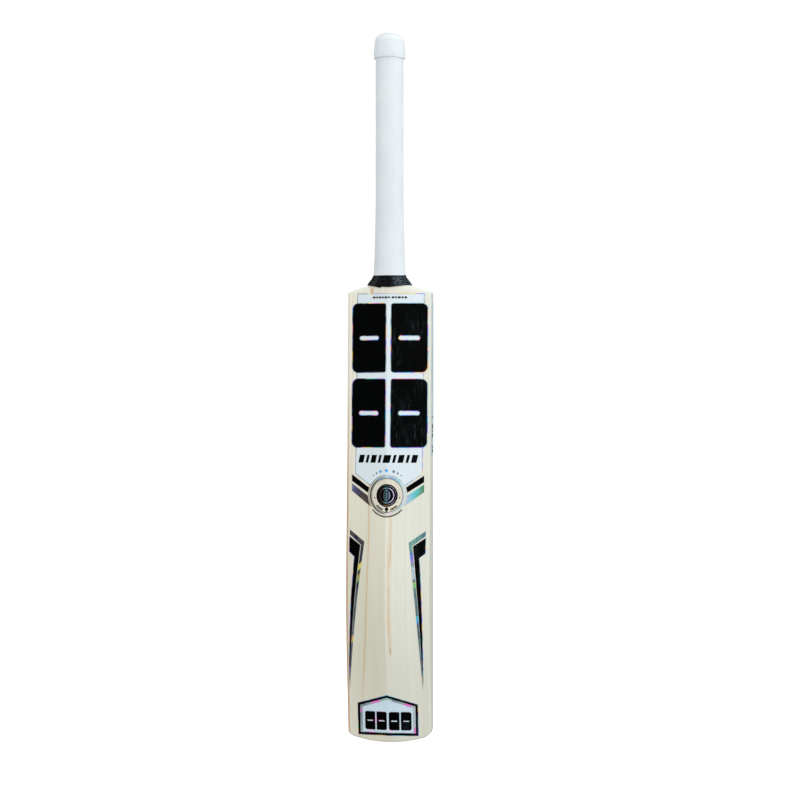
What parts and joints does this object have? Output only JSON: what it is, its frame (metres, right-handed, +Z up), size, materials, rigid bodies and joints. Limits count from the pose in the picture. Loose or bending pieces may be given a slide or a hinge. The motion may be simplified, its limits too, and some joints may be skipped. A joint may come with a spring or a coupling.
{
  "type": "cricket bat",
  "caption": "Full-size cricket bat: willow blade with a ridged back and flat hitting face, spliced laminated cane handle, white ribbed rubber grip, black collar tape and printed stickers.",
  "frame": {"origin": "under the middle of the blade, level with the lowest point of the toe", "axes": "+Z up the bat from toe to handle, +X across the blade, +Y out of the flat hitting face; the ridged back looks along -Y"},
  "size_m": [0.104, 0.0601, 0.87],
  "materials": {
    "willow": "smooth lacquered willow, long straight grain",
    "cane": "raw laminated cane",
    "spring_rubber": "matte",
    "twine": "waxed thread, close wound",
    "grip_rubber": "matte rubber with fine slanted ribs",
    "ring_rubber": "matte rubber",
    "tape": "glossy black adhesive tape",
    "label_white": "glossy printed film",
    "print_black": "glossy printed film with a foil edge",
    "foil": "rainbow foil film",
    "badge": "printed film with foil rings",
    "toe_print": "printed film with a black border",
    "edge_white": "glossy printed film"
  },
  "bodies": {
    "root": {"blade": "willow", "cane_back_left": "cane", "cane_back_middle": "cane", "cane_back_right": "cane", "cane_inner_back_left": "cane", "cane_inner_back_middle": "cane", "cane_inner_back_right": "cane", "cane_inner_face_left": "cane", "cane_inner_face_middle": "cane", "cane_inner_face_right": "cane", "cane_face_left": "cane", "cane_face_middle": "cane", "cane_face_right": "cane", "rubber_spring_1": "spring_rubber", "rubber_spring_2": "spring_rubber", "rubber_spring_3": "spring_rubber", "twine_binding": "twine", "grip": "grip_rubber", "grip_end_ring": "ring_rubber", "collar_tape": "tape", "label_panel": "label_white", "block_decal_upper": "print_black", "block_decal_lower": "print_black", "roundel_badge": "badge", "chevron_black_left": "print_black", "chevron_black_right": "print_black", "chevron_foil_left": "foil", "chevron_foil_right": "foil", "flash_black_left": "print_black", "flash_black_right": "print_black", "flash_foil_left": "foil", "flash_foil_right": "foil", "toe_label": "toe_print", "edge_label_left": "edge_white", "edge_label_right": "edge_white"}
  },
  "joints": []
}
